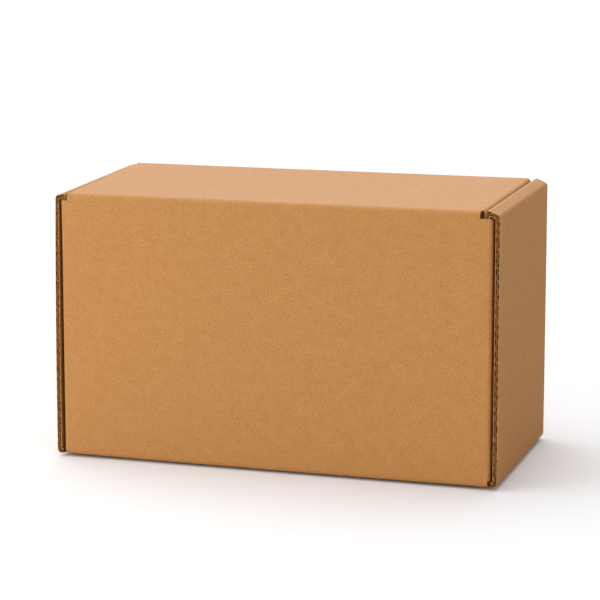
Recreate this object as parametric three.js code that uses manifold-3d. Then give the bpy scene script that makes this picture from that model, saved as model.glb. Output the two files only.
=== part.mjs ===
// A plain kraft mailer: a roll-end tuck-front shipping box, folded from one sheet of corrugated board.
// Millimetres, +Z up. Origin: centre of the underside. X runs along the hinge, -Y is the hinge wall's face,
// +Y is the front wall's face. The sheet is split only on the hinge crease, where the lid swings.
import * as THREE from 'three';
import { mergeVertices } from 'three/addons/utils/BufferGeometryUtils.js';
import Module from 'manifold-3d';

const wasm = await Module();
wasm.setup();

// Driving dimensions of the closed box.
const boxLength = 300;
const boxDepth = 140;
const lidHeight = 178;

// Corrugated board: two liners on a fluted medium. The flutes run along Y in the base, sides and lid.
const board = 3;
const liner = 0.35;
const medium = 0.4;
const flutePitch = 6.6;
const fluteFlank = 2;

// Creases, and the play that the folded layers keep to each other.
const foldRadius = 2.6;
const layerGap = 0.5;
const arcSteps = 5;

// Side walls: outer wall, tilted roll-over strip on top, inner wall that locks in the base.
const sideCornerDrop = 2.4;
const rollTilt = THREE.MathUtils.degToRad(24);
const sideFrontSetback = 3;
const tabReach = 42;
const tabLift = 3;
const lockCount = 2;
const lockLength = 32;
const lockSpacing = 70;
const lockStop = 0.3;

// Lid: ears inside the side walls, tuck flap inside the front wall, leaning in so that it swings clear.
const hingeGap = 0.3;
const earDrop = 38;
const earHingeGap = 2.5;
const earFrontGap = 4;
const earChamfer = 14;
const flapDrop = 35;
const flapLean = THREE.MathUtils.degToRad(9);
const flapSideGap = 1.5;
const flapCorner = 12;
const frontWallDrop = 1.6;

// Places that follow from the sizes above.
const halfLength = boxLength / 2;
const halfDepth = boxDepth / 2;
const tabOuterX = halfLength - board - layerGap;
const tabInnerX = tabOuterX - board;
const innerWallOuterX = tabInnerX - layerGap;
const innerWallX = innerWallOuterX - board;
const sideTop = lidHeight - sideCornerDrop;
const ridgeTop = sideTop + (halfLength - innerWallX) * Math.tan(rollTilt);
const stripUnderTab = sideTop + (halfLength - tabOuterX) * Math.tan(rollTilt) - board / Math.cos(rollTilt);
const tabTop = stripUnderTab - layerGap;
const aboveBase = board + layerGap;
const tabBottom = board + tabLift;
const foldShy = foldRadius * (1 - Math.SQRT1_2);
const foldEndX = tabOuterX - foldShy;
const innerFace = halfDepth - board - layerGap;
const earX = innerWallX - layerGap;
const creaseHalf = earX - foldRadius;
const frontWallTop = lidHeight - frontWallDrop;
const sideFrontY = halfDepth - sideFrontSetback;
const pivotY = -halfDepth + foldShy;
const pivotZ = lidHeight - foldShy;
const overcut = 5;
const grid = 1 / 4096;

// A folded sheet's section. Its outside face follows the points, always turning left, with the board on the
// left. Each fold is rounded by foldRadius outside and pinched to a corner inside.
function foldedSheet(points) {
  const outside = points.map(([u, v]) => new THREE.Vector2(u, v));
  const ahead = outside.slice(1).map((point, i) => point.clone().sub(outside[i]).normalize());
  const left = ahead.map((d) => new THREE.Vector2(-d.y, d.x));
  const inside = outside.map((point, i) => {
    const before = left[Math.max(i - 1, 0)];
    const after = left[Math.min(i, left.length - 1)];
    const mean = before.clone().add(after).normalize();
    return point.clone().addScaledVector(mean, board / mean.dot(after));
  });
  const shape = new THREE.Shape();
  const last = outside.length - 1;
  const turnAt = (i) => Math.acos(THREE.MathUtils.clamp(ahead[i - 1].dot(ahead[i]), -1, 1)) / 2;
  shape.moveTo(outside[0].x, outside[0].y);
  for (let i = 1; i < last; i += 1) {
    const centre = outside[i].clone().addScaledVector(ahead[i - 1], -foldRadius * Math.tan(turnAt(i)));
    centre.addScaledVector(left[i - 1], foldRadius);
    const from = left[i - 1].clone().negate().angle();
    const to = left[i].clone().negate().angle();
    shape.absarc(centre.x, centre.y, foldRadius, from, to, false);
  }
  shape.lineTo(outside[last].x, outside[last].y);
  shape.lineTo(inside[last].x, inside[last].y);
  for (let i = last - 1; i > 0; i -= 1) shape.lineTo(inside[i].x, inside[i].y);
  shape.lineTo(inside[0].x, inside[0].y);
  shape.closePath();
  return shape;
}

// The open channels between liner and medium along one stretch of board, where its raw edge shows them.
// place(along, deep) gives the point that far along the outside face and that deep in the board.
function fluteChannels(place, stretch) {
  const core = board - 2 * liner;
  const rise = core - medium;
  const web = medium / Math.sin(Math.atan2(rise, fluteFlank));
  const wide = flutePitch / 2 + (fluteFlank * core) / rise - web;
  const narrow = wide - 2 * fluteFlank;
  const count = Math.max(0, Math.floor((2 * (stretch - wide)) / flutePitch) + 1);
  const margin = (stretch - ((count - 1) * flutePitch) / 2) / 2;
  const channels = [];
  for (let i = 0; i < count; i += 1) {
    const middle = margin + (i * flutePitch) / 2;
    const onOutside = i % 2 === 0;
    const foot = onOutside ? liner : board - liner;
    const tip = onOutside ? liner + rise : board - liner - rise;
    const corners = [[-wide / 2, foot], [wide / 2, foot], [narrow / 2, tip], [-narrow / 2, tip]];
    channels.push(new THREE.Path(corners.map(([a, deep]) => place(middle + a, deep))));
  }
  return channels;
}

// Extrudes a shape between two places on an axis. Its (u, v) are (x, z) for axis y, (y, z) for axis x and
// (x, y) for axis z.
function extrude(shape, axis, from, to) {
  const geometry = new THREE.ExtrudeGeometry(shape, {
    depth: to - from, bevelEnabled: false, curveSegments: arcSteps,
  });
  if (axis === 'y') {
    geometry.rotateX(Math.PI / 2);
    geometry.translate(0, to, 0);
  }
  if (axis === 'x') {
    const east = new THREE.Vector3(1, 0, 0);
    const north = new THREE.Vector3(0, 1, 0);
    const up = new THREE.Vector3(0, 0, 1);
    geometry.applyMatrix4(new THREE.Matrix4().makeBasis(north, up, east));
    geometry.translate(from, 0, 0);
  }
  if (axis === 'z') geometry.translate(0, 0, from);
  return solid(geometry);
}

// A closed geometry as a solid, its points set on a fine grid so that faces in one plane stay in one plane.
function solid(geometry) {
  geometry.deleteAttribute('normal');
  geometry.deleteAttribute('uv');
  geometry.attributes.position.array.forEach((value, i, all) => {
    all[i] = Math.round(value / grid) * grid;
  });
  const merged = mergeVertices(geometry, 1e-4);
  return new wasm.Manifold(new wasm.Mesh({
    numProp: 3,
    vertProperties: Float32Array.from(merged.attributes.position.array),
    triVerts: Uint32Array.from(merged.index.array),
  }));
}

// A box between two corners, for the cuts and for the locking tabs.
function block(low, high) {
  const size = high.map((value, i) => value - low[i]);
  const geometry = new THREE.BoxGeometry(...size);
  geometry.translate(...low.map((value, i) => value + size[i] / 2));
  return solid(geometry);
}

function outline(points) {
  return new THREE.Shape(points.map(([u, v]) => new THREE.Vector2(u, v)));
}

// A block that takes one side off the hinge crease's round, past its 45 degree line. The tray keeps the side
// below the line and the lid the side above it, with hingeGap between them.
function hingeCutter(side) {
  const reach = 6 * board;
  const start = (-side * hingeGap) / 2;
  const place = (along, across) => [
    pivotY + (along - across) * Math.SQRT1_2,
    pivotZ + (along + across) * Math.SQRT1_2,
  ];
  const corners = [[start, -reach], [side * reach, -reach], [side * reach, reach], [start, reach]];
  const ordered = side > 0 ? corners : corners.reverse();
  return extrude(outline(ordered.map(([a, b]) => place(a, b))), 'x', -boxLength, boxLength);
}

// Base, outer side walls, roll-over strips and inner side walls: one run of board across the box.
function sideRun() {
  const rightSide = [
    [halfLength, 0], [halfLength, sideTop], [innerWallX, ridgeTop], [innerWallX, aboveBase],
  ];
  const leftSide = rightSide.map(([x, z]) => [-x, z]).reverse();
  const section = foldedSheet([...leftSide, ...rightSide]);
  // Channels in the wall, between its two folds, and in the strip's flat, from the outer corner's round to
  // the ridge's. Left and right mirror each other.
  const upWall = (along, deep) => [halfLength - deep, foldRadius + along];
  const cornerRound = foldRadius * Math.tan((Math.PI / 2 - rollTilt) / 2);
  const ridgeRound = foldRadius * Math.tan((Math.PI / 2 + rollTilt) / 2);
  const stripLength = (halfLength - innerWallX) / Math.cos(rollTilt) - ridgeRound - cornerRound;
  const upStrip = (along, deep) => [
    halfLength - (cornerRound + along) * Math.cos(rollTilt) - deep * Math.sin(rollTilt),
    sideTop + (cornerRound + along) * Math.sin(rollTilt) - deep * Math.cos(rollTilt),
  ];
  for (const side of [-1, 1]) {
    const facing = (route) => (along, deep) => {
      const [x, z] = route(along, deep);
      return new THREE.Vector2(side * x, z);
    };
    section.holes.push(...fluteChannels(facing(upWall), sideTop - 2 * foldRadius));
    section.holes.push(...fluteChannels(facing(upStrip), stripLength));
  }
  return extrude(section, 'y', -halfDepth, sideFrontY);
}

// Hinge or front wall with its two corner tabs, which go between the outer and inner side walls.
function tabbedWall(facing) {
  const face = facing * halfDepth;
  const end = facing * (halfDepth - tabReach);
  const x = tabOuterX * facing;
  const section = foldedSheet([[x, end], [x, face], [-x, face], [-x, end]]);
  return extrude(section, 'z', tabBottom, tabTop);
}

// The locking tabs under the inner side walls, and the base slots that they stand in.
function lockPlaces() {
  const places = [];
  for (const side of [-1, 1]) {
    for (let i = 0; i < lockCount; i += 1) {
      const y = (i - (lockCount - 1) / 2) * lockSpacing;
      places.push([side * (innerWallX + board / 2), y]);
    }
  }
  return places;
}

function makeTray() {
  let tray = sideRun();
  // The side run's base and inner walls stop short of the hinge and front walls.
  const clearZ = tabTop + layerGap / 2;
  tray = tray.subtract(block([-tabOuterX, -halfDepth - overcut, -overcut], [tabOuterX, -innerFace, clearZ]));
  tray = tray.subtract(block([-tabOuterX, innerFace, -overcut], [tabOuterX, halfDepth + overcut, clearZ]));
  // The base's creases to both walls, then the walls with their tabs.
  const foldTop = tabBottom + layerGap;
  const underfold = foldedSheet([
    [-halfDepth, foldTop], [-halfDepth, 0], [halfDepth, 0], [halfDepth, foldTop],
  ]);
  tray = tray.add(extrude(underfold, 'x', -foldEndX, foldEndX));
  tray = tray.add(tabbedWall(-1)).add(tabbedWall(1));
  // Between the notches both walls stand taller: the hinge wall to its crease, the front wall to a raw edge.
  const hingeTop = foldedSheet([
    [-halfDepth + 2 * board, lidHeight], [-halfDepth, lidHeight], [-halfDepth, tabTop - board],
  ]);
  tray = tray.add(extrude(hingeTop, 'x', -creaseHalf, creaseHalf).subtract(hingeCutter(1)));
  tray = tray.add(block(
    [-creaseHalf, halfDepth - board, tabTop - board],
    [creaseHalf, halfDepth, frontWallTop],
  ));
  for (const [x, y] of lockPlaces()) {
    const slotX = board / 2 + layerGap;
    const slotY = lockLength / 2 + layerGap;
    tray = tray.subtract(block([x - slotX, y - slotY, -overcut], [x + slotX, y + slotY, aboveBase]));
    const tab = block(
      [x - board / 2, y - lockLength / 2, lockStop],
      [x + board / 2, y + lockLength / 2, aboveBase + board],
    );
    tray = tray.add(tab);
  }
  return tray;
}

function makeLid() {
  // Panel and ears: one run of board, with the ears' ends cut back and their lower corners off.
  const earBottom = lidHeight - earDrop;
  const panelRun = foldedSheet([
    [earX, earBottom], [earX, lidHeight], [-earX, lidHeight], [-earX, earBottom],
  ]);
  const earBack = -halfDepth + board + earHingeGap;
  const earFront = innerFace - earFrontGap;
  let lid = extrude(panelRun, 'y', -halfDepth, innerFace);
  const earOutline = outline([
    [earBack, lidHeight + overcut], [earBack, earBottom + earChamfer], [earBack + earChamfer, earBottom],
    [earFront - earChamfer, earBottom], [earFront, earBottom + earChamfer],
    [earFront, lidHeight + overcut],
  ]);
  const ears = lid.intersect(extrude(earOutline, 'x', -boxLength, boxLength));
  // The panel between the creases, from the hinge crease to the tuck flap's lower edge.
  const flapFar = innerFace - flapDrop * Math.tan(flapLean);
  const flapRun = foldedSheet([
    [flapFar, lidHeight - flapDrop], [innerFace, lidHeight], [-halfDepth, lidHeight],
    [-halfDepth, lidHeight - 2 * board],
  ]);
  const panel = extrude(flapRun, 'x', -creaseHalf, creaseHalf).subtract(hingeCutter(-1));
  // The flap is a little narrower than the panel, and its lower corners are cut off.
  const flapHalf = creaseHalf - flapSideGap;
  const flapBottom = lidHeight - flapDrop - board;
  const flapShape = outline([
    [-flapHalf, lidHeight + overcut], [-flapHalf, flapBottom + flapCorner],
    [-flapHalf + flapCorner, flapBottom], [flapHalf - flapCorner, flapBottom],
    [flapHalf, flapBottom + flapCorner], [flapHalf, lidHeight + overcut],
  ]);
  const aboveFlap = block(
    [-boxLength, -boxDepth, lidHeight - 2 * board],
    [boxLength, boxDepth, lidHeight + overcut],
  );
  const flapTrim = extrude(flapShape, 'y', 0, boxDepth).add(aboveFlap);
  return ears.add(panel.intersect(flapTrim));
}

// Gives a joined solid back as a mesh with its own kraft finish.
function pieceOf(name, manifold, color) {
  const { vertProperties, triVerts } = manifold.getMesh();
  const geometry = new THREE.BufferGeometry();
  geometry.setAttribute('position', new THREE.BufferAttribute(vertProperties, 3));
  geometry.setIndex(new THREE.BufferAttribute(triVerts, 1));
  geometry.computeVertexNormals();
  const material = new THREE.MeshStandardMaterial({ color, roughness: 0.86, metalness: 0 });
  const mesh = new THREE.Mesh(geometry, material);
  mesh.name = name;
  return mesh;
}

const mailer = new THREE.Group();
mailer.add(pieceOf('tray', makeTray(), 0xc08a58));
mailer.add(pieceOf('lid', makeLid(), 0xcc9868));

export default mailer;
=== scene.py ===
import math
import bpy
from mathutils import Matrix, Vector


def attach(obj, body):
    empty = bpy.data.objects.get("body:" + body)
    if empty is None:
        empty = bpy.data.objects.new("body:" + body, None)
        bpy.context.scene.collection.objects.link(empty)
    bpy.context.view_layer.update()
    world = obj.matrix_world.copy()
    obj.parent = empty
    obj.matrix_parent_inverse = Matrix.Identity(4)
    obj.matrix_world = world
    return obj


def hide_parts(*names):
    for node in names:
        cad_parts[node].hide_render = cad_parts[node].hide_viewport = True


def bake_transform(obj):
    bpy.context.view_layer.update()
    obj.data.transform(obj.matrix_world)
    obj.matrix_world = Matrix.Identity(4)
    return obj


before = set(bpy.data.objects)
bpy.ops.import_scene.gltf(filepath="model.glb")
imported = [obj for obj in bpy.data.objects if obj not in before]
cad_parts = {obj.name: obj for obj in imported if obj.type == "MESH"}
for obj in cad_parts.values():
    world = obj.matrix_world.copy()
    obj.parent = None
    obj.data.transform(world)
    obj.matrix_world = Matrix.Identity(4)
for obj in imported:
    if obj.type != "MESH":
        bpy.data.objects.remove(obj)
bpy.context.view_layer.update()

# Tray. The whole box is die-cut from one sheet of brown single-wall corrugated board, which is two kraft
# liners glued to a fluted medium. The tray is the sheet below the hinge crease: base, hinge wall, front wall
# and double side walls, folded up by hand and locked by tabs, with no glue, tape or staples.

# Lengths are in millimetres, and the mesh is written in metres.
METRES = 0.001
HALF_LENGTH = 150.0
HALF_DEPTH = 70.0
LID_HEIGHT = 178.0
BOARD = 3.0
LINER = 0.4
MEDIUM = 1.4
FLUTE_PITCH = 6.6
FOLD_RADIUS = 2.6
FOLD_INSIDE = 0.3
LAYER_GAP = 0.5

# Each layer of the paper's pattern has its share, its waves in millimetres along and across the fibres, and
# its detail: grain, fibres along, fibres across, clouds. Real fibres are a few hundredths of a millimetre
# wide and too fine to show, so grain and fibres are drawn about as wide as a pixel.
PAPER_NOISE = (
    (0.60, (0.74, 0.69), 2.0),
    (0.14, (3.3, 1.0), 3.0),
    (0.14, (1.1, 2.9), 3.0),
    (0.12, (9.0, 6.7), 3.0),
)
NOISE_ROUGHNESS = 0.6
TONE_RANGE = (0.38, 0.62)
# Shives are dark bits of bark fibre, about two to a square centimetre, and are drawn too large as well. Each
# cell of this spacing may hold one, which fades out between two shares of the cell.
SHIVE_SPACING = (3.8, 1.6)
SHIVE_REACH = (0.05, 0.22)
SHIVE_CHANCE = (0.84, 0.92)
SHIVE_STRENGTH = 0.35
PAPER_IOR = 1.47
PAPER_SPECULAR = 0.3
RELIEF_DEPTH = 0.1


def linear(hex_colour):
    """An sRGB hex value as the linear colour that a shader takes."""
    channels = [int(hex_colour[i:i + 2], 16) / 255 for i in (1, 3, 5)]
    curve = [c / 12.92 if c <= 0.04045 else ((c + 0.055) / 1.055) ** 2.4 for c in channels]
    return (*curve, 1.0)


def add_node(tree, kind, settings=None, **inputs):
    """Adds a node, sets its fields, and sets or links its inputs."""
    made = tree.nodes.new(kind)
    for field, value in (settings or {}).items():
        setattr(made, field, value)
    for name, value in inputs.items():
        socket = made.inputs[int(name[1:])] if name[1:].isdigit() else made.inputs[name.replace("_", " ")]
        if isinstance(value, bpy.types.NodeSocket):
            tree.links.new(value, socket)
        else:
            socket.default_value = value
    return made


def per_metre(size):
    """How often a size in millimetres, along and across the fibres, fits in a metre."""
    return (1 / (size[0] * METRES), 1 / (size[1] * METRES), 1.0)


def kraft_paper(name, pale, dark, shive, roughness, relief):
    """Kraft paper: a fine grain, faint fibres along and across the sheet, soft clouds and a few shives."""
    paper = bpy.data.materials.new(name)
    paper.use_nodes = True
    tree = paper.node_tree
    shader = tree.nodes["Principled BSDF"]
    # The sheet's coordinates are metres on the flat blank: x along the fibres, y along the flutes.
    sheet = add_node(tree, "ShaderNodeUVMap", {"uv_map": "sheet"}).outputs["UV"]
    layers = []
    tone = 0.0
    for share, waves, detail in PAPER_NOISE:
        place = add_node(tree, "ShaderNodeVectorMath", {"operation": "MULTIPLY"},
                         _0=sheet, _1=per_metre(waves))
        layer = add_node(tree, "ShaderNodeTexNoise", {"noise_dimensions": "2D"}, Vector=place.outputs[0],
                         Scale=1.0, Detail=detail, Roughness=NOISE_ROUGHNESS)
        tone = add_node(tree, "ShaderNodeMath", {"operation": "MULTIPLY_ADD"},
                        _0=layer.outputs[0], _1=share, _2=tone).outputs[0]
        layers.append(layer)
    ramp = add_node(tree, "ShaderNodeValToRGB", Fac=tone)
    for stop, place, shade in zip(ramp.color_ramp.elements, TONE_RANGE, (dark, pale)):
        stop.position = place
        stop.color = linear(shade)
    cell = add_node(tree, "ShaderNodeVectorMath", {"operation": "MULTIPLY"},
                    _0=sheet, _1=per_metre(SHIVE_SPACING))
    shives = add_node(tree, "ShaderNodeTexVoronoi", {"voronoi_dimensions": "2D"},
                      Vector=cell.outputs[0], Scale=1.0, Randomness=1.0)
    near = add_node(tree, "ShaderNodeMapRange", Value=shives.outputs["Distance"],
                    _1=SHIVE_REACH[0], _2=SHIVE_REACH[1], _3=SHIVE_STRENGTH, _4=0.0)
    chosen = add_node(tree, "ShaderNodeMapRange", Value=shives.outputs["Color"],
                      _1=SHIVE_CHANCE[0], _2=SHIVE_CHANCE[1], _3=0.0, _4=1.0)
    weight = add_node(tree, "ShaderNodeMath", {"operation": "MULTIPLY"},
                      _0=near.outputs[0], _1=chosen.outputs[0])
    colour = add_node(tree, "ShaderNodeMix", {"data_type": "RGBA"},
                      _0=weight.outputs[0], _6=ramp.outputs[0], _7=linear(shive))
    tree.links.new(colour.outputs[2], shader.inputs["Base Color"])
    shader.inputs["Roughness"].default_value = roughness
    shader.inputs["IOR"].default_value = PAPER_IOR
    shader.inputs["Specular IOR Level"].default_value = PAPER_SPECULAR
    grain = layers[0].outputs[0]
    bump = add_node(tree, "ShaderNodeBump", Strength=relief, Distance=RELIEF_DEPTH * METRES, Height=grain)
    tree.links.new(bump.outputs[0], shader.inputs["Normal"])
    return paper


# What the papers give the eye: the outside liner is matt and evenly brown with a faint soft sheen, and the
# inside liner is a little darker and duller. The fluting is darker still and quite matt. The die-cut edges
# are the palest and the roughest, with cut fibres standing up.
OUTSIDE = kraft_paper("kraft liner, outside", "#c59153", "#ae733a", "#7d5026", 0.60, 0.15)
INSIDE = kraft_paper("kraft liner, inside", "#bd874a", "#a66e33", "#7a4d24", 0.70, 0.15)
# The fluting paper is also laid on the liners' inner faces, as painted shade between the flutes.
FLUTING_AND_PAINTED_SHADE = kraft_paper("fluting paper and painted shade", "#8c582b", "#603b18", "#4d2f13", 0.80, 0.15)
CUT_EDGE = kraft_paper("kraft liner, die-cut edge", "#cf9b60", "#9a662b", "#784c22", 0.80, 0.30)
PAPERS = [OUTSIDE, INSIDE, FLUTING_AND_PAINTED_SHADE, CUT_EDGE]
# Each ply shows a paper on its outer face, on its inner face and at its rim. What is inside the board shows
# only at the raw edges, and is dark: the liners' inner faces take the dark fluting paper as painted shade.
PLIES = {
    "outside": (OUTSIDE, FLUTING_AND_PAINTED_SHADE, CUT_EDGE),
    "medium": (FLUTING_AND_PAINTED_SHADE, FLUTING_AND_PAINTED_SHADE, FLUTING_AND_PAINTED_SHADE),
    "inside": (FLUTING_AND_PAINTED_SHADE, INSIDE, CUT_EDGE),
}

# The board as it is folded: steps to a fold, the step on the flat and along a wave, and the share of the
# board's thickness by which the medium swings to each side.
FOLD_STEPS = 8
FLAT_STEP = 6.0
WAVE_STEP = FLUTE_PITCH / 10
WAVE_SWING = 0.5 - (LINER + MEDIUM / 2) / BOARD
SHARP_ANGLE = math.radians(40)
# No two flutes are quite alike. They stray by a short and a long wave, each of them given as its reach in
# millimetres and its turn in radians to a millimetre.
STRAY = 0.5
STRAY_TURN = 0.37
DRIFT = 0.35
DRIFT_TURN = 0.113
DRIFT_SLANT = 0.02
# The folded box isn't quite square, by a millimetre or two. What ends in FROM, AT or REACH is a share of the
# half length.
SIDE_BOW = 0.7
HINGE_BOW = 0.6
LEFT_LEAN = 2.2
LEFT_LEAN_FROM = 0.9
LEFT_PUSH = 2.0
LEFT_PUSH_AT = 0.93
LEFT_PUSH_REACH = 0.07
LID_SAG = 0.5
HEIGHT_STRETCH = 1.003
HEIGHT_TILT = 0.006
BASE_BULGE = 2.2
BULGE_POWER = 0.4


def folded_section(points, step, radii=None):
    """The outside and inside faces of a folded board, as matched points, with the run along the outside.

    The outside follows the points, turning left only, and the board lies on the left. radii holds the
    outside radius of each fold, where it isn't the usual one.
    """
    outer_radii = radii or [FOLD_RADIUS] * (len(points) - 2)
    inner_radii = [FOLD_INSIDE] * (len(points) - 2)
    corners = [Vector(p) for p in points]
    ahead = [(b - a).normalized() for a, b in zip(corners, corners[1:])]
    left = [Vector((-d.y, d.x)) for d in ahead]
    inner = []
    for i, corner in enumerate(corners):
        before = left[max(i - 1, 0)]
        after = left[min(i, len(left) - 1)]
        mean = (before + after).normalized()
        inner.append(corner + mean * (BOARD / mean.dot(after)))

    def fold(corner, i, radius):
        """The points of one fold, round its centre."""
        half = math.acos(max(-1.0, min(1.0, ahead[i - 1].dot(ahead[i])))) / 2
        centre = corner - ahead[i - 1] * (radius * math.tan(half)) + left[i - 1] * radius
        start = math.atan2(-left[i - 1].y, -left[i - 1].x)
        turn = [start + 2 * half * k / FOLD_STEPS for k in range(FOLD_STEPS + 1)]
        return [centre + radius * Vector((math.cos(a), math.sin(a))) for a in turn]

    def flats_and_folds(line, fold_radii):
        """The start and end of each flat, and the folds between them."""
        flats, folds, start = [], [], line[0]
        for i in range(1, len(line) - 1):
            bend = fold(line[i], i, fold_radii[i - 1])
            flats.append((start, bend[0]))
            folds.append(bend)
            start = bend[-1]
        flats.append((start, line[-1]))
        return flats, folds

    outer_flats, outer_folds = flats_and_folds(corners, outer_radii)
    inner_flats, inner_folds = flats_and_folds(inner, inner_radii)
    outside, inside = [], []
    for i, (flat, under) in enumerate(zip(outer_flats, inner_flats)):
        count = max(1, math.ceil((flat[1] - flat[0]).length / step))
        for k in range(count + 1):
            outside.append(flat[0].lerp(flat[1], k / count))
            inside.append(under[0].lerp(under[1], k / count))
        if i < len(outer_folds):
            outside += outer_folds[i][1:-1]
            inside += inner_folds[i][1:-1]
    run = [0.0]
    for a, b in zip(outside, outside[1:]):
        run.append(run[-1] + (b - a).length)
    return outside, inside, run


# Where a point of a section lies in the box, when the section is carried along this axis.
PLACES = {
    "y": lambda p, w: (p.x, w, p.y),
    "x": lambda p, w: (w, p.x, p.y),
    "z": lambda p, w: (p.x, p.y, w),
}


def uneven(along, across):
    """The place along the wave, as the flutes stray."""
    stray = STRAY * math.sin(along * STRAY_TURN)
    drift = DRIFT * math.sin(along * DRIFT_TURN + across * DRIFT_SLANT)
    return along + stray + drift


def settled(x, y, z, far_rise):
    """A point of the square box in metres, where the folded box has it.

    The walls bow out, and the lid sags and stands a little lower on the left. At the top the left wall leans
    in at the hinge and its inner wall is pushed out. The base bulges down, so that the lower edges stand
    just clear of the floor. far_rise lifts what is away from the hinge.
    """
    u, v, h = x / HALF_LENGTH, y / HALF_DEPTH, z / LID_HEIGHT
    over_x = max(0.0, 1 - u * u)
    over_y = max(0.0, 1 - v * v)
    over_z = max(0.0, 4 * h * (1 - h))
    far = (1 + v) / 2
    x += SIDE_BOW * u ** 3 * over_y * over_z
    x += LEFT_LEAN * h * h * (1 - far) * max(0.0, -u - LEFT_LEAN_FROM) / (1 - LEFT_LEAN_FROM)
    x -= LEFT_PUSH * max(0.0, h) ** 4 * max(0.0, 1 - abs(-u - LEFT_PUSH_AT) / LEFT_PUSH_REACH)
    y += HINGE_BOW * v ** 3 * over_x * over_z
    z *= HEIGHT_STRETCH + HEIGHT_TILT * u
    z += far_rise * h * far
    z -= LID_SAG * max(0.0, h) ** 4 * over_x * over_y
    z += BASE_BULGE * max(0.0, 1 - h) * (1 - (over_x * over_y) ** BULGE_POWER)
    return x * METRES, y * METRES, z * METRES


class Sheet:
    """Gathers runs of corrugated board into one mesh."""

    def __init__(self, far_rise=0.0):
        self.far_rise = far_rise
        self.points, self.faces, self.papers, self.places = [], [], [], []

    def layer(self, rows, papers):
        """One ply as a closed solid. Each row holds points above and below, with their sheet coordinates."""
        base = len(self.points)
        count_w = len(rows[0])
        for row in rows:
            for top, under, place in row:
                self.points += [settled(*top, self.far_rise), settled(*under, self.far_rise)]
                self.places += [place, place]

        def at(i, k, side):
            return base + 2 * (i * count_w + k) + side

        def face(corners, paper):
            self.faces.append(corners)
            self.papers.append(paper)

        above, below, rim = [PAPERS.index(paper) for paper in papers]
        last_i, last_k = len(rows) - 1, count_w - 1
        for i in range(last_i):
            for k in range(last_k):
                face((at(i, k, 0), at(i + 1, k, 0), at(i + 1, k + 1, 0), at(i, k + 1, 0)), above)
                face((at(i, k, 1), at(i, k + 1, 1), at(i + 1, k + 1, 1), at(i + 1, k, 1)), below)
            for k, turn in ((0, 1), (last_k, -1)):
                quad = (at(i, k, 0), at(i, k, 1), at(i + 1, k, 1), at(i + 1, k, 0))
                face(quad[::turn], rim)
        for k in range(last_k):
            for i, turn in ((0, -1), (last_i, 1)):
                quad = (at(i, k, 0), at(i, k, 1), at(i, k + 1, 1), at(i, k + 1, 0))
                face(quad[::turn], rim)

    def run(self, points, axis, ends, flutes="along", origin=(0.0, 0.0), mirror=False, radii=None):
        """A run of board: a folded section, carried along an axis between two ends.

        flutes is "along" where they follow the axis, so that the section shows the wave, and "round" where
        they follow the fold. ends is a pair, or a function of the run that returns one. origin is the run's
        place on the paper, so that no two runs show the same grain.
        """
        low_high = ends if callable(ends) else lambda s: ends
        fold_wise = flutes == "round"
        for ply, papers in PLIES.items():
            fine_s = ply == "medium" and not fold_wise
            fine_w = ply == "medium" and fold_wise
            outside, inside, run = folded_section(points, WAVE_STEP if fine_s else FLAT_STEP, radii)
            low, high = low_high(run[len(run) // 2])
            step_w = WAVE_STEP if fine_w else FLAT_STEP
            count = max(2, math.ceil((high - low) / step_w))
            rows = []
            for out, into, s in zip(outside, inside, run):
                low, high = low_high(s)
                row = []
                for k in range(count + 1):
                    w = low + (high - low) * k / count
                    along = uneven(w if fold_wise else s, w)
                    # A cut beside a flute leaves the medium midway between the liners.
                    swing = min(1.0, min(w - low, high - w) / FLUTE_PITCH) if fold_wise else 1.0
                    wave = 0.5 + WAVE_SWING * swing * math.sin(2 * math.pi * along / FLUTE_PITCH)
                    shares = {
                        "outside": (0.0, LINER / BOARD),
                        "medium": (wave - MEDIUM / BOARD / 2, wave + MEDIUM / BOARD / 2),
                        "inside": (1 - LINER / BOARD, 1.0),
                    }[ply]
                    place = (w, s) if fold_wise else (s, w)
                    place = ((place[0] + origin[0]) * METRES, (place[1] + origin[1]) * METRES)
                    pair = []
                    for share in shares:
                        x, y, z = PLACES[axis](out.lerp(into, share), w)
                        pair.append((-x if mirror else x, y, z))
                    row.append((*pair, place))
                rows.append(row)
            # Turned rows keep every face of the ply outward, whichever way the run is carried.
            turned = (axis == "y") != mirror
            self.layer([row[::-1] for row in rows] if turned else rows, papers)

    def piece(self, name):
        """The gathered runs as one object, with the sheet's coordinates as its UV map."""
        mesh = bpy.data.meshes.new(name)
        mesh.from_pydata(self.points, [], self.faces)
        for paper in PAPERS:
            mesh.materials.append(paper)
        mesh.polygons.foreach_set("material_index", self.papers)
        mesh.polygons.foreach_set("use_smooth", [True] * len(self.faces))
        sheet = mesh.uv_layers.new(name="sheet")
        corners = [self.places[loop.vertex_index] for loop in mesh.loops]
        sheet.data.foreach_set("uv", [value for corner in corners for value in corner])
        mesh.set_sharp_from_angle(angle=SHARP_ANGLE)
        mesh.update()
        made = bpy.data.objects.new(name, mesh)
        bpy.context.collection.objects.link(made)
        return made


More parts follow.
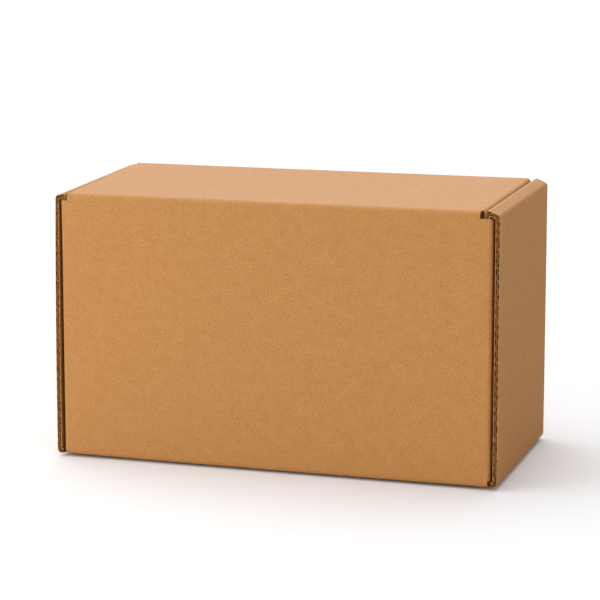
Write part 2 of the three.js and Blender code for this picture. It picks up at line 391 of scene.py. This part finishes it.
# Base and side walls. Each outer side wall stands on the base's crease, leans over at the top as a narrow
# strip and comes down again as the inner side wall, whose locking tabs stand in slots in the base. Its
# front and rear edges are die-cut, so liners and flutes show there.
SIDE_CORNER_DROP = 2.4
ROLL_TILT = math.radians(24)
LEFT_CORNER_DROP = 1.6
LEFT_ROLL_TILT = math.radians(10)
SIDE_FRONT_SETBACK = 3.0
TAB_OUTER = HALF_LENGTH - BOARD - LAYER_GAP
TAB_INNER = TAB_OUTER - BOARD
INNER_WALL_OUTER = TAB_INNER - LAYER_GAP
INNER_WALL = INNER_WALL_OUTER - BOARD
NOTCH_TOP = (LID_HEIGHT - SIDE_CORNER_DROP + (HALF_LENGTH - TAB_OUTER) * math.tan(ROLL_TILT)
             - BOARD / math.cos(ROLL_TILT) - LAYER_GAP)
ABOVE_BASE = BOARD + LAYER_GAP
INNER_FACE = HALF_DEPTH - BOARD - LAYER_GAP
BASE_EDGE = TAB_OUTER - LAYER_GAP
LOCK_LENGTH = 32.0
LOCK_SPACING = 70.0
LOCK_STOP = 0.3
SLOT_IN = INNER_WALL - LAYER_GAP
SLOT_OUT = INNER_WALL_OUTER + LAYER_GAP
SLOT_HALF = LOCK_LENGTH / 2 + LAYER_GAP
SLOT_NEAR = LOCK_SPACING / 2 - SLOT_HALF
SLOT_FAR = LOCK_SPACING / 2 + SLOT_HALF
# Where some of the runs lie on the paper, so that no two show the same grain.
LEFT_PAPER = 300.0
INNER_WALL_PAPER = 340.0
LOCK_PAPER = 510.0
TRAY_FAR_RISE = -1.0

tray = Sheet(TRAY_FAR_RISE)
for mirror, drop, tilt in ((False, SIDE_CORNER_DROP, ROLL_TILT), (True, LEFT_CORNER_DROP, LEFT_ROLL_TILT)):
    side_top = LID_HEIGHT - drop
    ridge_top = side_top + (HALF_LENGTH - INNER_WALL) * math.tan(tilt)
    tray.run(
        [(BASE_EDGE, 0), (HALF_LENGTH, 0), (HALF_LENGTH, side_top), (INNER_WALL, ridge_top),
         (INNER_WALL, NOTCH_TOP)],
        "y", (-HALF_DEPTH, HALF_DEPTH - SIDE_FRONT_SETBACK), origin=(BASE_EDGE, LEFT_PAPER * mirror),
        mirror=mirror)
    tray.run([(INNER_WALL, NOTCH_TOP), (INNER_WALL, ABOVE_BASE)], "y", (-INNER_FACE, INNER_FACE),
             origin=(INNER_WALL_PAPER, LEFT_PAPER * mirror), mirror=mirror)
    for side in (-1, 1):
        middle = side * LOCK_SPACING / 2
        tray.run([(INNER_WALL, ABOVE_BASE), (INNER_WALL, LOCK_STOP)], "y",
                 (middle - LOCK_LENGTH / 2, middle + LOCK_LENGTH / 2), origin=(LOCK_PAPER, 0.0),
                 mirror=mirror)
    # The base beside and between the two slots.
    tray.run([(SLOT_OUT, 0), (BASE_EDGE, 0)], "y", (-INNER_FACE, INNER_FACE), origin=(SLOT_OUT, 0.0),
             mirror=mirror)
    for low, high in ((-INNER_FACE, -SLOT_FAR), (-SLOT_NEAR, SLOT_NEAR), (SLOT_FAR, INNER_FACE)):
        tray.run([(SLOT_IN, 0), (SLOT_OUT, 0)], "y", (low, high), origin=(SLOT_IN, 0.0), mirror=mirror)
tray.run([(-SLOT_IN, 0), (SLOT_IN, 0)], "y", (-INNER_FACE, INNER_FACE), origin=(-SLOT_IN, 0.0))

# Hinge wall and front wall. Each rises from the base's crease, with flutes standing upright, and turns back
# at both ends into a corner tab that the side walls hold. Their tops are notched under the side strips. The
# hinge wall ends a little short of the side walls, and its fold into the base is shorter still.
TAB_LIFT = 1.2
TAB_BOTTOM = BOARD + TAB_LIFT
TAB_REACH = 42.0
TAB_END = HALF_DEPTH - TAB_REACH
HINGE_SHORT = 1.5
HINGE_LEFT = HINGE_SHORT - TAB_OUTER
HINGE_RIGHT = TAB_OUTER - HINGE_SHORT
FOLD_SHORT_LEFT = 1.0
FOLD_SHORT_RIGHT = 1.5
# The front wall's fold ends on the rounding of its corners, and its top edge ends before the side strips.
FOLD_END = TAB_OUTER - FOLD_RADIUS * (1 - math.sqrt(0.5))
CREASE_HALF = INNER_WALL - LAYER_GAP - FOLD_RADIUS
FRONT_WALL_DROP = 1.6
FRONT_WALL_TOP = LID_HEIGHT - FRONT_WALL_DROP
HINGE_WALL_PAPER = -400.0
HINGE_FOLD_PAPER = -410.0
FRONT_WALL_PAPER = 400.0
FRONT_FOLD_PAPER = 390.0
FRONT_TOP_PAPER = 574.0

tray.run([(HINGE_LEFT, -TAB_END), (HINGE_LEFT, -HALF_DEPTH), (HINGE_RIGHT, -HALF_DEPTH),
          (HINGE_RIGHT, -TAB_END)],
         "z", (TAB_BOTTOM, NOTCH_TOP), origin=(0.0, HINGE_WALL_PAPER))
tray.run([(TAB_OUTER, TAB_END), (TAB_OUTER, HALF_DEPTH), (-TAB_OUTER, HALF_DEPTH), (-TAB_OUTER, TAB_END)],
         "z", (TAB_BOTTOM, NOTCH_TOP), origin=(0.0, FRONT_WALL_PAPER))
tray.run([(-HALF_DEPTH, TAB_BOTTOM), (-HALF_DEPTH, 0), (-INNER_FACE, 0)], "x",
         (HINGE_LEFT + FOLD_SHORT_LEFT, HINGE_RIGHT - FOLD_SHORT_RIGHT), flutes="round",
         origin=(0.0, HINGE_FOLD_PAPER))
tray.run([(INNER_FACE, 0), (HALF_DEPTH, 0), (HALF_DEPTH, TAB_BOTTOM)], "x", (-FOLD_END, FOLD_END),
         flutes="round", origin=(0.0, FRONT_FOLD_PAPER))
tray.run([(HALF_DEPTH, NOTCH_TOP), (HALF_DEPTH, FRONT_WALL_TOP)], "x", (-CREASE_HALF, CREASE_HALF),
         flutes="round", origin=(0.0, FRONT_TOP_PAPER))
tray_board = tray.piece("tray_board")
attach(tray_board, "tray")
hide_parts("tray")

# Lid. It is a panel of the same sheet and lies on top between the side strips. At each end an ear is folded
# down inside the side wall, and in front a tuck flap is folded down inside the front wall and holds by
# friction alone. Ears and flap have their lower corners cut off.
# An ear's outer face stands this far from the middle, and the right one a little less.
EAR = INNER_WALL - LAYER_GAP
RIGHT_EAR_SHORT = 0.2
RIGHT_EAR = EAR - RIGHT_EAR_SHORT
EAR_DROP = 38.0
EAR_CHAMFER = 14.0
EAR_FOLD_RADII = (2.8, 1.5)
EAR_HINGE_GAP = 2.5
EAR_BACK = -HALF_DEPTH + BOARD + EAR_HINGE_GAP
PANEL_SHORT = 1.5
PANEL_FRONT = INNER_FACE - PANEL_SHORT
FLAP_DROP = 35.0
FLAP_LEAN = math.radians(9)
FLAP_CORNER = 12.0
FLAP_SHORT = 2.2
# Just below their folds, ears and flap step back from each other.
EAR_STEP = 2.5
FLAP_STEP = 3.0
STEP_RUN = 4.0
EAR_PAPER = 700.0
FLAP_PAPER = 640.0


def ear_ends(run_length):
    """The ends of the panel and its ears, as a function of the run from ear to ear."""
    def ends(s):
        from_edge = min(s, run_length - s)
        cut = max(0.0, EAR_CHAMFER - from_edge)
        step = EAR_STEP * max(0.0, min(1.0, (EAR_DROP - from_edge) / STEP_RUN))
        return EAR_BACK + cut, PANEL_FRONT - step - cut
    return ends


def flap_ends(s):
    """The ends of the tuck flap, by the run up from its lower edge."""
    cut = max(0.0, FLAP_CORNER - s)
    step = FLAP_STEP * max(0.0, min(1.0, (FLAP_DROP - s) / STEP_RUN))
    return cut + step - EAR, RIGHT_EAR - FLAP_SHORT - cut - step


lid = Sheet()
ear_line = [(RIGHT_EAR, LID_HEIGHT - EAR_DROP), (RIGHT_EAR, LID_HEIGHT), (-EAR, LID_HEIGHT),
            (-EAR, LID_HEIGHT - EAR_DROP)]
ear_run = folded_section(ear_line, FLAT_STEP, EAR_FOLD_RADII)[2][-1]
lid.run(ear_line, "y", ear_ends(ear_run), origin=(-EAR - EAR_DROP, EAR_PAPER), radii=EAR_FOLD_RADII)
flap_foot = INNER_FACE - FLAP_DROP * math.tan(FLAP_LEAN)
lid.run([(flap_foot, LID_HEIGHT - FLAP_DROP), (INNER_FACE, LID_HEIGHT), (PANEL_FRONT, LID_HEIGHT)], "x",
        flap_ends, flutes="round", origin=(0.0, FLAP_PAPER))
lid_board = lid.piece("lid_board")
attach(lid_board, "lid")
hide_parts("lid")

# Hinge crease. Hinge wall and lid are one sheet here, bent round a scored line that ends short of the side
# strips, so its rolled raw ends show at both corners.
HINGE_FOLD_RADIUS = 3.4
CREASE_SHORT = 0.8
CREASE_LEFT = CREASE_SHORT - EAR
CREASE_PAPER = 900.0

crease = Sheet()
crease.run([(EAR_BACK, LID_HEIGHT), (-HALF_DEPTH, LID_HEIGHT), (-HALF_DEPTH, NOTCH_TOP)], "x",
           (CREASE_LEFT, CREASE_HALF), flutes="round", origin=(0.0, CREASE_PAPER),
           radii=[HINGE_FOLD_RADIUS])
hinge_crease = crease.piece("hinge_crease")
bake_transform(hinge_crease)

# Studio floor. A wide sweep of white background paper, rolled out flat and unprinted, with the box just
# standing on it.
FLOOR_REACH = 30.0
FLOOR_DROP = 0.2
floor_mesh = bpy.data.meshes.new("floor")
floor_mesh.from_pydata([(-FLOOR_REACH, -FLOOR_REACH, 0), (FLOOR_REACH, -FLOOR_REACH, 0),
                        (FLOOR_REACH, FLOOR_REACH, 0), (-FLOOR_REACH, FLOOR_REACH, 0)], [], [(0, 1, 2, 3)])
floor = bpy.data.objects.new("floor", floor_mesh)
bpy.context.collection.objects.link(floor)
floor.location.z = -FLOOR_DROP * METRES
# Matt white paper gives the eye no gloss, only the box's soft shadow. What gloss there is on the box sees it
# as grey, a painted shade: the floor's colour is darkened for gloss rays alone.
white = bpy.data.materials.new("white studio floor, painted grey in gloss")
white.use_nodes = True
tree = white.node_tree
shader = tree.nodes["Principled BSDF"]
paths = add_node(tree, "ShaderNodeLightPath")
# Painted shade: for gloss rays the floor's white turns grey.
pale = add_node(tree, "ShaderNodeMix", {"data_type": "RGBA"},
                _0=paths.outputs["Is Glossy Ray"], _6=linear("#f4f5f7"), _7=linear("#7c7c7c"))
tree.links.new(pale.outputs[2], shader.inputs["Base Color"])
shader.inputs["Roughness"].default_value = 0.9
shader.inputs["Specular IOR Level"].default_value = 0.0
floor_mesh.materials.append(white)

# Studio light. Soft light is fullest in front and least on the right. A broad light high on the left and
# behind leaves a soft shadow on the right and in front, and a small panel stands at the left in front. What
# the box reflects is bright behind it and dark on its right.
SKY_LEVEL = 0.73
SKY_FRONT = 1.44
SKY_BACK = 0.8
SKY_RIGHT = 0.58
MIRRORED_FRONT = 0.5
MIRRORED_BACK = 2.1
MIRRORED_RIGHT = 0.1
MIRRORED_RIGHT_FROM = 0.35
SUN_STRENGTH = 1.4
SUN_WIDTH = math.radians(75)
SUN_DIRECTION = (-0.28, 0.28, 0.92)
PANEL_WATTS = 1.4
PANEL_SIZE = 0.35
PANEL_PLACE = (-0.6, -0.6, 0.3)
PANEL_FACING = (-0.45, -0.6, 0.2)

world = bpy.data.worlds.new("studio")
bpy.context.scene.world = world
world.use_nodes = True
tree = world.node_tree
paths = add_node(tree, "ShaderNodeLightPath")
toward = add_node(tree, "ShaderNodeTexCoord").outputs["Generated"]
facing = add_node(tree, "ShaderNodeSeparateXYZ", Vector=toward)
front = add_node(tree, "ShaderNodeMapRange", Value=facing.outputs["Y"], _1=-1.0, _2=1.0,
                 _3=SKY_FRONT * SKY_LEVEL, _4=SKY_BACK * SKY_LEVEL)
side = add_node(tree, "ShaderNodeMapRange", Value=facing.outputs["X"], _1=0.0, _2=1.0,
                _3=1.0, _4=SKY_RIGHT)
lit = add_node(tree, "ShaderNodeMath", {"operation": "MULTIPLY"}, _0=front.outputs[0], _1=side.outputs[0])
behind = add_node(tree, "ShaderNodeMapRange", Value=facing.outputs["Y"], _1=-1.0, _2=1.0,
                  _3=MIRRORED_FRONT, _4=MIRRORED_BACK)
right = add_node(tree, "ShaderNodeMapRange", Value=facing.outputs["X"], _1=0.0, _2=MIRRORED_RIGHT_FROM,
                 _3=1.0, _4=MIRRORED_RIGHT)
mirrored = add_node(tree, "ShaderNodeMath", {"operation": "MULTIPLY"},
                    _0=behind.outputs[0], _1=right.outputs[0])
# The camera sees plain white, and gloss sees the mirrored studio.
seen = add_node(tree, "ShaderNodeMix", {"data_type": "FLOAT"},
                _0=paths.outputs["Is Camera Ray"], _2=lit.outputs[0], _3=1.0)
level = add_node(tree, "ShaderNodeMix", {"data_type": "FLOAT"},
                 _0=paths.outputs["Is Glossy Ray"], _2=seen.outputs[0], _3=mirrored.outputs[0])
tree.links.new(level.outputs[0], tree.nodes["Background"].inputs["Strength"])
tree.nodes["Background"].inputs["Color"].default_value = linear("#ffffff")

sun = bpy.data.lights.new("key", "SUN")
sun.energy = SUN_STRENGTH
sun.angle = SUN_WIDTH
key = bpy.data.objects.new("key", sun)
bpy.context.collection.objects.link(key)
key.rotation_euler = Vector(SUN_DIRECTION).to_track_quat("Z", "Y").to_euler()

panel = bpy.data.lights.new("left panel", "AREA")
panel.energy = PANEL_WATTS
panel.size = PANEL_SIZE
left_panel = bpy.data.objects.new("left panel", panel)
bpy.context.collection.objects.link(left_panel)
left_panel.location = PANEL_PLACE
left_panel.rotation_euler = Vector(PANEL_FACING).to_track_quat("Z", "Y").to_euler()

# Camera. It has a long lens and stands where the photograph was taken from, a little above the lid and
# turned to show the right side.
FOCAL_PIXELS = 2671.7
FRAME_PIXELS = 600
SENSOR_WIDTH = 36.0
CAMERA_AZIMUTH = math.radians(17.448)
CAMERA_ELEVATION = math.radians(11.855)
CAMERA_ROLL = math.radians(-0.131)
CAMERA_PLACE = (0.5207, -1.6648, 0.4672)
lens = bpy.data.cameras.new("camera")
lens.sensor_fit = "HORIZONTAL"
lens.sensor_width = SENSOR_WIDTH
lens.lens = FOCAL_PIXELS / FRAME_PIXELS * SENSOR_WIDTH
camera = bpy.data.objects.new("camera", lens)
bpy.context.collection.objects.link(camera)
camera.location = CAMERA_PLACE
back = Vector((math.sin(CAMERA_AZIMUTH) * math.cos(CAMERA_ELEVATION),
               -math.cos(CAMERA_AZIMUTH) * math.cos(CAMERA_ELEVATION), math.sin(CAMERA_ELEVATION)))
camera.rotation_euler = back.to_track_quat("Z", "Y").to_euler()
camera.rotation_euler.rotate_axis("Z", CAMERA_ROLL)
bpy.context.scene.camera = camera
bpy.context.scene.view_settings.view_transform = "Standard"
